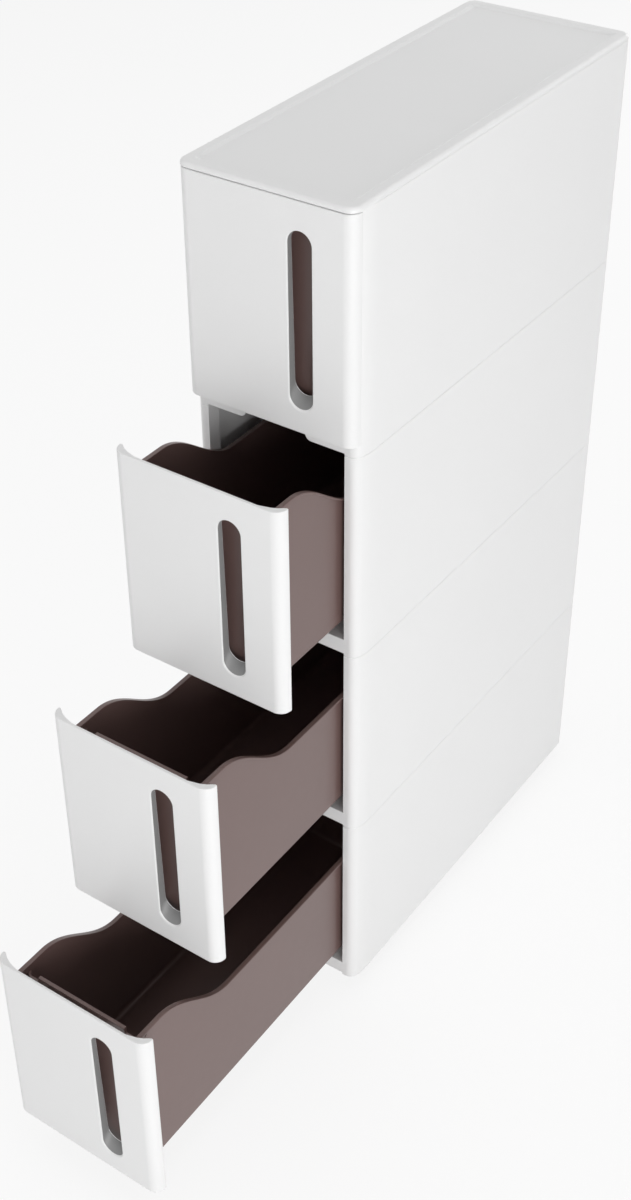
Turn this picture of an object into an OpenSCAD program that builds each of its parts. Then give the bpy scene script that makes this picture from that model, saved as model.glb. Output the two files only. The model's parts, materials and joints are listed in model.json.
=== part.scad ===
// Narrow drawer trolley: four stacked tiers, each a white case with a wave-sided
// drawer behind a wrapped front, under a flat top cover and on four swivel casters.
// Origin: on the floor, at the middle of the box round the trolley as it stands,
// with its drawers pulled out in steps. Drawers open towards -Y, +Z is up.

/* [Case] */
// Width across the sides
case_w = 170; // [156:1:200]
// Depth from the closed drawer fronts to the back
case_d = 453; // [420:1:520]
// Height of one tier, from seam to seam
tier_h = 209.5; // [200:0.5:240]
// Thickness of the case walls
case_wall = 2.5; // [2.2:0.1:3.2]
// Radius of the upright corners, seen from above
corner_r = 11; // [9:0.5:14]
// Height of the tongue that locates the next tier
tongue_h = 5; // [3:0.5:7]

/* [Front frame] */
// Distance of the front frame behind the closed drawer fronts
frame_setback = 9.5; // [8:0.5:12]
// Distance from the case's side to the drawer opening
frame_w = 15; // [13:0.2:17]
// Depth of the inner leg of the frame
frame_leg = 14; // [10:0.5:18]
// Radius of the bead at the leg's end
bead_r = 2; // [1.5:0.1:2.5]
// Radius of the frame's upright outer corners
frame_corner_r = 9; // [7:0.5:10]
// Distance of that radius's centre inside the case's side
frame_corner_in = 11; // [10.5:0.1:12]
// Where the frame's corner has blended into the flat side
blend_end = 32; // [28:1:38]
// Height of the front rail's lower edge above the seam
rail_lift = 2; // [1:0.5:4]
// Width of the notch in the front rail
notch_w = 61; // [50:1:80]
// Height of the notch in the front rail
notch_h = 8; // [6:0.5:9]
// Radius of the notch's inner corners
notch_r = 2; // [1:0.5:3.5]

/* [Floor and runners] */
// Height of the floor's underside above the seam
floor_lift = 15; // [14:0.5:18]
// Thickness of the floor
floor_t = 2.5; // [2:0.1:3.2]
// Height of the runners above the floor
runner_h = 15.2; // [13:0.1:18]
// Thickness of the runner ledges, webs and guides
rib_t = 2.2; // [1.8:0.1:2.8]
// Width of ledge under each side of a drawer
ledge_bearing = 4; // [3:0.5:6]
// Depth of the stop block in each runner
stop_t = 3; // [2:0.5:5]

/* [Drawers] */
// How far a drawer slides from closed to its stop
drawer_travel = 360; // [340:1:370]
// How far the upper drawer stands open
upper_open = 101; // [0:1:300]
// How far the lower drawer stands open
lower_open = 205; // [0:1:300]
// How far the bottom drawer stands open
bottom_open = 306; // [250:1:330]
// Length of a drawer bin
bin_len = 424; // [400:1:430]
// Wall thickness of a drawer bin
bin_wall = 2.2; // [1.8:0.1:2.8]
// Gap between a bin's side wall and the opening
bin_side_gap = 4.4; // [4:0.1:6]
// Height of a bin's sides at its front
bin_front_h = 173; // [160:1:175]
// How much lower a bin's front wall is between them
face_drop = 7; // [4:0.5:16]
// Height of a bin at its back
bin_back_h = 126; // [100:1:140]
// Radius of a bin's upright corners
bin_r = 8; // [5:0.5:10]
// Where the side's wave starts, behind the front's face
wave_start = 40; // [32:1:60]
// Length of the side's wave
wave_len = 96; // [70:1:120]
// Width of the rim outside the bin
rim_w = 2.4; // [1.8:0.1:3.4]
// Thickness of the rim
rim_t = 2; // [1.6:0.1:3]
// Half the length of the raised lip on the bin's front wall
lip_half = 49; // [35:1:54]
// Height of the raised lip above the front wall
lip_h = 5; // [2:0.5:7]
// Thickness of the raised lip
lip_t = 3.6; // [3:0.1:5]
// Length of the rear wing that runs in each runner
wing_len = 22; // [16:1:30]
// Height of the rear wing
wing_h = 12; // [8:0.5:16]
// How far the rear wing stands clear of the case's wall
wing_gap = 0.5; // [0.3:0.1:1]

/* [Drawer fronts] */
// Height of a drawer front
front_h = 205; // [200:0.5:208]
// Thickness of a drawer front
front_t = 3; // [2.4:0.1:3.4]
// Height of a front's lower edge above its tier's seam
front_rise = 14; // [12:0.5:16]
// How far a front's sides run back past its rounded corners
wrap_tail = 1; // [0.5:0.5:3]
// How far a front's sides lie inside the case's sides
front_inset = 0.6; // [0.2:0.1:1]
// Distance from a front's face to the bin behind it
finger_depth = 14.8; // [13:0.1:18]
// Width of the handle slot
slot_w = 23; // [20:0.5:26]
// Height of the handle slot
slot_len = 159; // [120:1:165]
// Sideways place of the handle slot
slot_x = 33.6; // [28:0.2:38]
// Height of the slot's lower end above the front's lower edge
slot_low = 21; // [16:0.5:26]
// Depth of the collar at the slot's upper end
collar_top_d = 6.5; // [4.5:0.5:9]
// Depth of the collar at the slot's lower end
collar_low_d = 10; // [8:0.5:12]
// Wall of the collar round the slot
collar_t = 2; // [1.6:0.1:2.6]
// Rise of the scoop at the slot's lower end
scoop_rise = 11; // [5:0.5:16]
// Diameter of the bumpers that close against the frame
bumper_d = 6; // [4:0.5:7]

/* [Drawer screws] */
// Height of the lower screws above the front's lower edge
screw_low = 45; // [35:1:60]
// Height of the upper screws above the front's lower edge
screw_high = 165; // [140:1:170]
// Diameter of the screws
screw_d = 3; // [2.5:0.1:3.5]
// Diameter of the screw heads
screw_head_d = 6; // [5:0.5:7]
// Height of the screw heads
screw_head_h = 2; // [1.5:0.1:2.5]
// Grip of the screws in the front's bosses
screw_grip = 9; // [6:0.5:10]
// Diameter of the bosses for the screws
boss_d = 8; // [7:0.5:9]

/* [Top cover] */
// Thickness of the cover's edge
cover_t = 4.6; // [4:0.1:6]
// Radius of the cover's upper edge
cover_edge_r = 3.6; // [2:0.1:3.8]
// Width of the raised rim on the cover
cover_rim = 10.5; // [8:0.5:14]
// Depth of the cover's recess
cover_recess = 2.2; // [1:0.1:2.6]
// Depth of the cover's plug inside the top case
plug_h = 11; // [6:0.5:14]
// Gap between the top front and the cover
cover_gap = 0.8; // [0.5:0.1:2]

/* [Casters] */
// Diameter of a caster wheel
wheel_d = 24; // [22:0.5:28]
// Width of a caster wheel
wheel_w = 11; // [9:0.5:14]
// Diameter of a wheel's axle
axle_d = 4; // [3:0.1:5]
// Distance of the wheel's axle behind the swivel axis
trail = 9; // [7:0.5:11]
// Distance of the swivel axis from the case's side
caster_side = 30; // [29:0.5:34]
// Distance of the swivel axis from the case's front and back
caster_end = 45; // [42:1:60]
// Height between the wheel and the fork's bridge
fork_headroom = 3.8; // [3:0.1:5]
// Thickness of the fork's bridge
bridge_t = 3.4; // [2.5:0.1:4.5]
// Thickness of the fork's cheeks
cheek_t = 2; // [1.6:0.1:2.6]
// Gap between the wheel and each cheek
cheek_gap = 0.5; // [0.3:0.1:0.8]
// Diameter of the fork's bridge
bridge_d = 20; // [18:0.5:22]
// Diameter of the caster's stem
stem_d = 7; // [6:0.5:8]
// Diameter of the sleeve that the stem turns in
sleeve_d = 12; // [11:0.5:13]
// Diameter of the sleeve's flange
sleeve_flange_d = 19; // [16:0.5:20]
// Thickness of the sleeve's flange
sleeve_flange_t = 1.5; // [1.2:0.1:2]
// Height of the sleeve's boss above the floor
boss_h = 11.5; // [9:0.5:12.5]
// Wall of the boss round the sleeve
boss_wall = 1.9; // [1.5:0.1:2]

/* [Fits] */
// Gap at a sliding or turning face
slide_gap = 0.3; // [0.2:0.05:0.5]
// Gap at a face that is pushed together
seat_gap = 0.15; // [0.05:0.05:0.3]
// Gap between a front's wrapped sides and the frame's corners
wrap_gap = 0.45; // [0.3:0.05:0.6]
// Radial gap of a shaft in its bore
shaft_gap = 0.05; // [0.03:0.01:0.08]

/* [Hidden] */
$fn = 64;
TIERS = ["bottom", "lower", "upper", "top"];
CORNERS = ["front_left", "front_right", "rear_left", "rear_right"];
CASTER_PIECES = ["caster_sleeve", "caster_stem", "caster_fork", "caster_axle", "caster_wheel"];

TOP = len(TIERS) - 1;
OPEN = [bottom_open, lower_open, upper_open, 0];
cut = 1;                    // how far a cutting shape runs past what it cuts
joint = 0.5;                // how far joined shapes run into each other
white = [0.93, 0.93, 0.93];
mauve = [0.43, 0.36, 0.36];
nylon = [0.86, 0.86, 0.85];
steel = [0.72, 0.73, 0.75];
grey = [0.55, 0.55, 0.56];

// Casters, from the floor up
wheel_r = wheel_d / 2;
bridge_z = wheel_d + fork_headroom;
fork_top = bridge_z + bridge_t;
plate_z = fork_top + slide_gap + sleeve_flange_t;
base_z = plate_z - floor_lift;
cheek_in = wheel_w / 2 + cheek_gap;
cheek_out = cheek_in + cheek_t;
stem_r = stem_d / 2;
stem_head_r = stem_r + 1.5;
stem_head_t = 1.2;
sleeve_top = floor_t + boss_h;

// Plan of the case
half_w = case_w / 2;
face_y = (bottom_open - case_d) / 2;
opening_half = half_w - frame_w;
inner_half = half_w - case_wall;
inner_back = case_d - case_wall;
leg_end = frame_setback + frame_leg;
frame_end = leg_end + bead_r;
blend_b = blend_end - frame_setback - frame_corner_r;
blend_r = (pow(frame_corner_in, 2) + pow(blend_b, 2) - pow(frame_corner_r, 2))
    / (2 * (frame_corner_in - frame_corner_r));
blend_y = blend_end - blend_r * blend_b / (blend_r - frame_corner_r);
tongue_inset = case_wall / 2 + seat_gap / 2;
tongue_y0 = 40;
tongue_y1 = case_d - 30;
tongue_back_half = half_w - 30;
floor_top = floor_lift + floor_t;
top_case_h = front_rise + front_h + cover_gap;

// Drawers
bin_half = opening_half - bin_side_gap;
bin_y0 = finger_depth;
bin_y1 = bin_y0 + bin_len;
bin_z = floor_top + runner_h + slide_gap;
bin_face_h = bin_front_h - face_drop;
wave_end = wave_start + wave_len;
wave_steps = 24;
wing_y0 = bin_y1 - bin_r - wing_len;
wing_out = inner_half - wing_gap;
runner_y0 = frame_end + cut;
ledge_in = bin_half - ledge_bearing;
guide_in = bin_half + rim_w + 3;
guide_z = bin_z + wing_h + slide_gap;
stop_y1 = wing_y0 - drawer_travel - slide_gap;
front_half = half_w - front_inset;
wrap_d = corner_r + wrap_tail;
cheek_y0 = front_t + slide_gap;
slot_r = slot_w / 2;
slot_high = slot_low + slot_len;

// Places of the fronts' screws, clear of the bin's corners, and of the bumpers, from the
// front's lower edge
screw_x = bin_half - bin_r - screw_head_d / 2 - seat_gap;
SCREW_SPOTS = [for (x = [-screw_x, screw_x], z = [screw_low, screw_high]) [x, z]];
bumper_x = opening_half + bumper_d / 2 - 0.5;
BUMPER_SPOTS = [for (x = [-bumper_x, bumper_x], z = [25, front_h - 25]) [x, z]];

function seam_z(i) = base_z + i * tier_h;
function wave_z(s) = bin_back_h + (bin_front_h - bin_back_h) * (1 + cos(180 * s)) / 2;
function caster_xy(c) = [
    (c % 2 == 0 ? -1 : 1) * (half_w - caster_side),
    face_y + (c < 2 ? caster_end : case_d - caster_end)
];

// A rectangle from y0 to y1, with rounded front and back corners
module plan(half, y0, y1, r_front, r_back) {
    translate([-half, y0 + r_front])
        square([2 * half, y1 - r_back - y0 - r_front]);
    translate([-(half - r_front), y0])
        square([2 * (half - r_front), r_front + joint]);
    translate([-(half - r_back), y1 - r_back - joint])
        square([2 * (half - r_back), r_back + joint]);
    intersection() {
        translate([-half, y0]) square([2 * half, y1 - y0]);
        for (side = [-1, 1]) {
            if (r_front > 0)
                translate([side * (half - r_front), y0 + r_front]) circle(r_front);
            if (r_back > 0)
                translate([side * (half - r_back), y1 - r_back]) circle(r_back);
        }
    }
}

// Puts a shape in the place of tier i, with z = 0 at its seam
module in_tier(i) {
    translate([0, face_y, seam_z(i)]) children();
}

// Puts a shape in the place of drawer i, as far open as it stands
module in_drawer(i) {
    translate([0, face_y - OPEN[i], seam_z(i)]) children();
}

// Draws a side view, given as y and z, across the trolley from x0 to x1
module side_view(x0, x1) {
    translate([x0, 0, 0])
        rotate([90, 0, 90])
            linear_extrude(x1 - x0) children();
}

// Draws a front view, given as x and z, from y0 back to y1
module front_view(y0, y1) {
    translate([0, y1, 0])
        rotate([90, 0, 0])
            linear_extrude(y1 - y0) children();
}

// A pin along y
module pin_y(x, z, y0, y1, r) {
    translate([x, y1, z])
        rotate([90, 0, 0])
            cylinder(h = y1 - y0, r = r);
}

// Outline of the case, drawn in by inset: each front corner is a small arc that runs
// into a large one, and the large one into the flat side
module case_outline(inset) {
    half = half_w - inset;
    front = frame_setback + inset;
    arc_x = half_w - frame_corner_in;
    plan(half, blend_end - joint, case_d - inset, 0, corner_r - inset);
    translate([-arc_x, front]) square([2 * arc_x, blend_end - front]);
    for (side = [-1, 1]) {
        translate([side * arc_x, frame_setback + frame_corner_r])
            circle(frame_corner_r - inset);
        intersection() {
            translate([side * (half_w - blend_r), blend_end]) circle(blend_r - inset);
            translate([side > 0 ? 0 : -half, blend_y]) square([half, blend_end - blend_y]);
        }
    }
}

// The open inside of the case, with the frame's legs left standing
module case_hollow() {
    difference() {
        union() {
            case_outline(case_wall);
            translate([-opening_half, -cut])
                square([2 * opening_half, frame_setback + case_wall + 2 * cut]);
        }
        for (side = [-1, 1]) {
            translate([side * (opening_half + case_wall / 2) - case_wall / 2, frame_setback])
                square([case_wall, frame_leg]);
            translate([side * (opening_half + bead_r), leg_end]) circle(bead_r);
        }
    }
}

// The band where the tongue of one tier enters the next; grow widens it into a groove
module tongue_band(inset, grow) {
    intersection() {
        difference() {
            plan(half_w - inset, blend_end, case_d - inset, 0, corner_r - inset);
            plan(inner_half - grow, blend_end - cut, inner_back - grow, 0,
                corner_r - case_wall - grow);
        }
        union() {
            for (side = [-1, 1])
                translate([side * half_w - corner_r, tongue_y0 - grow])
                    square([2 * corner_r, tongue_y1 - tongue_y0 + 2 * grow]);
            translate([-tongue_back_half - grow, case_d - corner_r])
                square([2 * (tongue_back_half + grow), corner_r]);
        }
    }
}

// Notch in the middle of the front rail: its lower corners are rounded outwards
module rail_notch() {
    top = rail_lift + notch_h;
    flare = notch_h - notch_r;
    translate([-notch_w / 2, 0]) square([notch_w, top - notch_r]);
    translate([-notch_w / 2 + notch_r, 0]) square([notch_w - 2 * notch_r, top]);
    for (side = [-1, 1]) {
        translate([side * (notch_w / 2 - notch_r), top - notch_r]) circle(notch_r);
        difference() {
            translate([side * (notch_w + flare) / 2 - flare / 2, 0])
                square([flare, rail_lift + flare]);
            translate([side * (notch_w / 2 + flare), rail_lift + flare]) circle(flare);
        }
    }
}

// Runner on the right side: ledge, web, guide above the wing, and stop
module runner() {
    run = inner_back - runner_y0 + joint;
    translate([ledge_in, runner_y0, bin_z - slide_gap - rib_t])
        cube([inner_half - ledge_in + joint, run, rib_t]);
    translate([ledge_in, runner_y0, floor_top - joint])
        cube([rib_t, run, runner_h - rib_t + 2 * joint]);
    translate([guide_in, stop_y1 - stop_t, guide_z])
        cube([inner_half - guide_in + joint, inner_back - stop_y1 + stop_t + joint, rib_t]);
    translate([guide_in, stop_y1 - stop_t, bin_z - slide_gap - joint])
        cube([inner_half - guide_in + joint, stop_t, guide_z - bin_z + slide_gap + 2 * joint]);
}

// One tier's case: walls, front frame, floor, rail and runners in one moulding
module tier_case(i) {
    wall_h = i == TOP ? top_case_h : tier_h;
    color(white) in_tier(i) difference() {
        union() {
            difference() {
                linear_extrude(wall_h) case_outline(0);
                translate([0, 0, -cut]) linear_extrude(wall_h + 2 * cut) case_hollow();
            }
            translate([0, 0, floor_lift]) linear_extrude(floor_t) case_outline(0);
            front_view(frame_setback, frame_setback + case_wall)
                translate([-opening_half - joint, rail_lift])
                    square([2 * (opening_half + joint), floor_lift - rail_lift + joint]);
            intersection() {
                union() {
                    runner();
                    mirror([1, 0, 0]) runner();
                }
                linear_extrude(tier_h) case_outline(case_wall / 2);
            }
            if (i < TOP)
                translate([0, 0, tier_h - joint])
                    linear_extrude(tongue_h + joint) tongue_band(tongue_inset, 0);
            if (i == 0)
                for (c = [0 : len(CORNERS) - 1])
                    translate([caster_xy(c)[0], caster_xy(c)[1] - face_y, floor_lift])
                        cylinder(h = floor_t + boss_h, r = sleeve_d / 2 + shaft_gap + boss_wall);
        }
        front_view(frame_setback - cut, frame_setback + case_wall + cut) rail_notch();
        if (i > 0)
            translate([0, 0, -cut])
                linear_extrude(tongue_h + slide_gap + cut)
                    tongue_band(tongue_inset - seat_gap, seat_gap);
        if (i == 0)
            for (c = [0 : len(CORNERS) - 1])
                translate([caster_xy(c)[0], caster_xy(c)[1] - face_y, floor_lift - cut])
                    cylinder(h = floor_t + boss_h + 2 * cut, r = sleeve_d / 2 + shaft_gap);
    }
}

// Half of the cover's edge section, from the middle of a corner outwards
module cover_edge(reach) {
    square([reach - cover_edge_r, cover_t]);
    square([reach, cover_t - cover_edge_r]);
    intersection() {
        translate([reach - cover_edge_r, cover_t - cover_edge_r]) circle(cover_edge_r);
        translate([reach - cover_edge_r, cover_t - cover_edge_r]) square(cover_edge_r);
    }
}

// Top cover: flat plate with a rounded edge, a recess inside a rim, and a plug below
module top_cover() {
    plug_half = inner_half - seat_gap;
    plug_y0 = frame_end + 2 * cut;
    plug_y1 = inner_back - seat_gap;
    plug_r = corner_r - case_wall - seat_gap;
    skirt = top_case_h - tier_h - rail_lift;
    color(white) in_tier(TOP) translate([0, 0, top_case_h]) {
        difference() {
            union() {
                for (side = [0, 1])
                    mirror([side, 0, 0])
                        translate([0, case_d - corner_r, 0])
                            rotate([90, 0, 0])
                                linear_extrude(case_d - 2 * corner_r) cover_edge(half_w);
                side_view(-(half_w - corner_r), half_w - corner_r)
                    for (turn = [0, 1])
                        translate([turn * case_d, 0])
                            mirror([turn, 0])
                                translate([case_d / 2, 0])
                                    mirror([1, 0]) cover_edge(case_d / 2);
                for (x = [-1, 1], y = [corner_r, case_d - corner_r])
                    translate([x * (half_w - corner_r), y, 0])
                        rotate_extrude() cover_edge(corner_r);
            }
            translate([0, 0, cover_t - cover_recess])
                linear_extrude(cover_recess + cut)
                    plan(half_w - cover_rim, cover_rim, case_d - cover_rim, 5, 5);
        }
        translate([0, 0, -plug_h]) linear_extrude(plug_h + joint) difference() {
            plan(plug_half, plug_y0, plug_y1, 0, plug_r);
            plan(plug_half - rib_t, plug_y0 + rib_t, plug_y1 - rib_t, 0, plug_r - rib_t);
        }
        front_view(frame_setback, frame_setback + case_wall)
            translate([-opening_half + slide_gap, -skirt])
                square([2 * (opening_half - slide_gap), skirt + joint]);
    }
}

// Side view of a bin: high behind its front, then down a wave to its back
module bin_side() {
    polygon(concat(
        [[cheek_y0, -cut], [cheek_y0, bin_front_h]],
        [for (k = [0 : wave_steps])
            [wave_start + wave_len * k / wave_steps, wave_z(k / wave_steps)]],
        [[bin_y1 + cut, bin_back_h], [bin_y1 + cut, -cut]]
    ));
}

// Side view of the rim along the high part and the wave
module rim_side() {
    polygon(concat(
        [[cheek_y0, bin_front_h - rim_t], [cheek_y0, bin_front_h]],
        [for (k = [0 : wave_steps])
            [wave_start + wave_len * k / wave_steps, wave_z(k / wave_steps)]],
        [for (k = [wave_steps : -1 : 0])
            [wave_start + wave_len * k / wave_steps, wave_z(k / wave_steps) - rim_t]]
    ));
}

// Wing at the right rear of a bin: it runs in the runner and keeps the drawer level
module wing() {
    difference() {
        translate([bin_half - joint, wing_y0, 0])
            cube([wing_out - bin_half + joint, wing_len, wing_h]);
        translate([bin_half, wing_y0 + rib_t, rib_t])
            cube([wing_out - bin_half - rib_t, wing_len, wing_h]);
    }
}

// Drawer bin: one moulding whose sides run on to the front, with a wave-shaped rim, a lip
// raised on the front wall and rear wings
module drawer_bin(i) {
    color(mauve) in_drawer(i) translate([0, 0, bin_z]) {
        difference() {
            intersection() {
                linear_extrude(bin_front_h + cut) {
                    plan(bin_half, bin_y0, bin_y1, bin_r, bin_r);
                    for (x = [-bin_half, bin_half - bin_wall])
                        translate([x, cheek_y0 - cut])
                            square([bin_wall, bin_y0 + bin_r - cheek_y0 + cut]);
                }
                side_view(-bin_half - cut, bin_half + cut) bin_side();
            }
            translate([0, 0, bin_wall])
                linear_extrude(bin_front_h + cut)
                    plan(bin_half - bin_wall, bin_y0 + bin_wall, bin_y1 - bin_wall,
                        bin_r - bin_wall, bin_r - bin_wall);
            translate([-bin_half + bin_wall, bin_y0 - cut, bin_face_h])
                cube([2 * (bin_half - bin_wall), bin_r + cut, bin_front_h]);
            for (s = SCREW_SPOTS)
                pin_y(s[0], s[1] + front_rise - bin_z, bin_y0 - cut, bin_y0 + bin_wall + cut,
                    screw_d / 2 + seat_gap);
        }
        side_view(bin_half - joint, bin_half + rim_w) rim_side();
        side_view(-bin_half - rim_w, -bin_half + joint) rim_side();
        translate([0, 0, bin_back_h - rim_t]) linear_extrude(rim_t) difference() {
            plan(bin_half + rim_w, wave_end - joint, bin_y1 + rim_w, 0, bin_r + rim_w);
            plan(bin_half - joint, wave_end - 2 * joint, bin_y1 - joint, 0, bin_r - joint);
        }
        translate([-lip_half, bin_y0, bin_face_h - rim_t])
            cube([2 * lip_half, lip_t, rim_t + lip_h]);
        wing();
        mirror([1, 0, 0]) wing();
    }
}

// Front view of a slot with round ends, of radius r, between the heights low and high
module slot_outline(r, low, high) {
    translate([slot_x - r, low + r]) square([2 * r, high - low - 2 * r]);
    for (z = [low + r, high - r])
        translate([slot_x, z]) circle(r);
}

// The handle slot's hole: straight above, and a scoop that rises to the back below
module slot_hole() {
    back = collar_low_d + cut;
    scoop_z = slot_low + slot_r + scoop_rise;
    slope = scoop_rise / collar_low_d;
    front_view(-cut, back) {
        translate([slot_x - slot_r, scoop_z]) square([slot_w, slot_high - slot_r - scoop_z]);
        translate([slot_x, slot_high - slot_r]) circle(slot_r);
    }
    multmatrix([[1, 0, 0, 0], [0, 1, 0, 0], [0, slope, 1, 0], [0, 0, 0, 1]])
        front_view(-cut, back) slot_outline(slot_r, slot_low, scoop_z + slot_w);
}

// Collar round the handle slot, deeper at its lower end
module slot_collar() {
    z0 = slot_low - collar_t;
    z1 = slot_high + collar_t;
    intersection() {
        front_view(front_t - joint, collar_low_d + cut)
            slot_outline(slot_r + collar_t, z0, z1);
        side_view(slot_x - slot_w, slot_x + slot_w)
            polygon([[0, z0 - cut], [collar_low_d, z0 - cut], [collar_top_d, z1 + cut],
                [0, z1 + cut]]);
    }
}

// Drawer front: wrapped plate with the handle slot, its collar, bosses and bumpers
module drawer_front(i) {
    color(white) in_drawer(i) translate([0, 0, front_rise]) {
        difference() {
            union() {
                linear_extrude(front_h) difference() {
                    plan(front_half, 0, wrap_d, corner_r, 0);
                    plan(front_half - front_t, front_t, wrap_d + cut, corner_r - front_t, 0);
                    case_outline(-wrap_gap);
                }
                slot_collar();
                for (s = SCREW_SPOTS)
                    pin_y(s[0], s[1], front_t - joint, finger_depth, boss_d / 2);
                for (s = BUMPER_SPOTS)
                    pin_y(s[0], s[1], front_t - joint, frame_setback - slide_gap, bumper_d / 2);
            }
            slot_hole();
            for (s = SCREW_SPOTS)
                pin_y(s[0], s[1], finger_depth - screw_grip - cut, finger_depth + cut,
                    screw_d / 2 + shaft_gap);
        }
    }
}

// The screws that hold a front to its bin, driven from inside the bin
module drawer_screws(i) {
    head_y = bin_y0 + bin_wall;
    color(steel) in_drawer(i) translate([0, 0, front_rise])
        for (s = SCREW_SPOTS)
            difference() {
                union() {
                    pin_y(s[0], s[1], head_y, head_y + screw_head_h, screw_head_d / 2);
                    pin_y(s[0], s[1], finger_depth - screw_grip, head_y + joint, screw_d / 2);
                }
                for (turn = [0, 90])
                    translate([s[0], head_y + screw_head_h, s[1]])
                        rotate([0, turn, 0])
                            cube([screw_head_d * 0.6, screw_head_h, 0.8], center = true);
            }
}

// Sleeve that a caster's stem turns in, pushed up into its boss
module caster_sleeve(c) {
    color(nylon) translate([caster_xy(c)[0], caster_xy(c)[1], plate_z]) difference() {
        union() {
            cylinder(h = sleeve_top, r = sleeve_d / 2);
            translate([0, 0, -sleeve_flange_t])
                cylinder(h = sleeve_flange_t, r = sleeve_flange_d / 2);
        }
        translate([0, 0, -sleeve_flange_t - cut])
            cylinder(h = sleeve_top + sleeve_flange_t + 2 * cut, r = stem_r + shaft_gap);
    }
}

// Steel stem, with its head under the fork's bridge
module caster_stem(c) {
    color(steel) translate([caster_xy(c)[0], caster_xy(c)[1], bridge_z]) {
        translate([0, 0, -stem_head_t])
            cylinder(h = stem_head_t, r = stem_head_r);
        cylinder(h = plate_z + sleeve_top - bridge_z, r = stem_r);
    }
}

// Fork: round bridge under the sleeve, and two cheeks down to the axle
module caster_fork(c) {
    cheek_r = axle_d / 2 + 3;
    color(nylon) translate([caster_xy(c)[0], caster_xy(c)[1], 0]) difference() {
        union() {
            translate([0, 0, bridge_z]) cylinder(h = bridge_t, r = bridge_d / 2);
            translate([-cheek_out, -wheel_r / 2, bridge_z])
                cube([2 * cheek_out, wheel_r / 2 + trail + cheek_r, bridge_t]);
            for (x = [-cheek_out, cheek_in])
                side_view(x, x + cheek_t) {
                    polygon([[-wheel_r / 2, fork_top], [-wheel_r / 2, bridge_z - 2],
                        [trail - cheek_r, wheel_r], [trail + cheek_r, wheel_r],
                        [trail + cheek_r, fork_top]]);
                    translate([trail, wheel_r]) circle(cheek_r);
                }
        }
        translate([0, 0, bridge_z - cut])
            cylinder(h = bridge_t + 2 * cut, r = stem_r + shaft_gap);
        side_view(-cheek_out - cut, cheek_out + cut)
            translate([trail, wheel_r]) circle(axle_d / 2 + shaft_gap);
    }
}

// Steel axle, with a head outside each cheek
module caster_axle(c) {
    head_t = 1;
    color(steel) translate([caster_xy(c)[0], caster_xy(c)[1] + trail, wheel_r]) {
        translate([-cheek_out - head_t, 0, 0])
            rotate([0, 90, 0])
                cylinder(h = 2 * (cheek_out + head_t), r = axle_d / 2);
        for (x = [-cheek_out - head_t, cheek_out])
            translate([x, 0, 0])
                rotate([0, 90, 0])
                    cylinder(h = head_t, r = axle_d / 2 + 1.2);
    }
}

// Caster wheel: rounded tread, dished sides and a bored hub
module caster_wheel(c) {
    tread_r = 2;
    dish = 1.5;
    hub_r = axle_d / 2 + 3;
    color(grey) translate([caster_xy(c)[0], caster_xy(c)[1] + trail, wheel_r])
        rotate([0, 90, 0]) difference() {
            rotate_extrude() {
                translate([0, -wheel_w / 2 + tread_r])
                    square([wheel_r, wheel_w - 2 * tread_r]);
                translate([0, -wheel_w / 2])
                    square([wheel_r - tread_r, wheel_w]);
                for (z = [-1, 1])
                    translate([wheel_r - tread_r, z * (wheel_w / 2 - tread_r)])
                        circle(tread_r);
            }
            for (z = [-1, 1])
                translate([0, 0, z * wheel_w / 2])
                    difference() {
                        cylinder(h = 2 * dish, r = wheel_r - tread_r - 1, center = true);
                        cylinder(h = 2 * dish + cut, r = hub_r, center = true);
                    }
            cylinder(h = wheel_w + 2 * cut, r = axle_d / 2 + shaft_gap, center = true);
        }
}

for (i = [0 : TOP]) {
    tier_case(i);
    drawer_bin(i);
    drawer_front(i);
    drawer_screws(i);
}
top_cover();
for (c = [0 : len(CORNERS) - 1]) {
    caster_sleeve(c);
    caster_stem(c);
    caster_fork(c);
    caster_axle(c);
    caster_wheel(c);
}
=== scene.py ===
import json
import math

import bmesh
import bpy
from mathutils import Matrix, Vector


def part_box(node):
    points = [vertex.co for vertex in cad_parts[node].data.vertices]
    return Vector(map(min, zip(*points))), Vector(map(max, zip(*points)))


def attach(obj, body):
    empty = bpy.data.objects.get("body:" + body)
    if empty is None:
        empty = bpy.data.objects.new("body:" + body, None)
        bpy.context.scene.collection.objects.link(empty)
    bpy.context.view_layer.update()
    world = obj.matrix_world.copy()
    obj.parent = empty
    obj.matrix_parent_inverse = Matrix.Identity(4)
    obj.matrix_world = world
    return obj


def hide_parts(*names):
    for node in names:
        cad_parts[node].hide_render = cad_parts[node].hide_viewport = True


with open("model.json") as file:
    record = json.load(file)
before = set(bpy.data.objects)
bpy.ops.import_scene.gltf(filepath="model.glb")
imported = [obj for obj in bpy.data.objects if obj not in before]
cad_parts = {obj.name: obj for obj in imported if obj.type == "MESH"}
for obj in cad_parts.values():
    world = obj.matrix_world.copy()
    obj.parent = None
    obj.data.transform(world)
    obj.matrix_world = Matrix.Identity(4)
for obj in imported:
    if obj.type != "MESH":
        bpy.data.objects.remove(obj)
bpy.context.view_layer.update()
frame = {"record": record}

# Tier cases. Each tier is one white moulding: a wall bent round three sides, a front frame
# with an inner leg, a floor with a notched rail below its front edge, and a runner on each
# side. Hidden tongues locate one tier on the next, and only a fine groove shows there.

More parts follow.
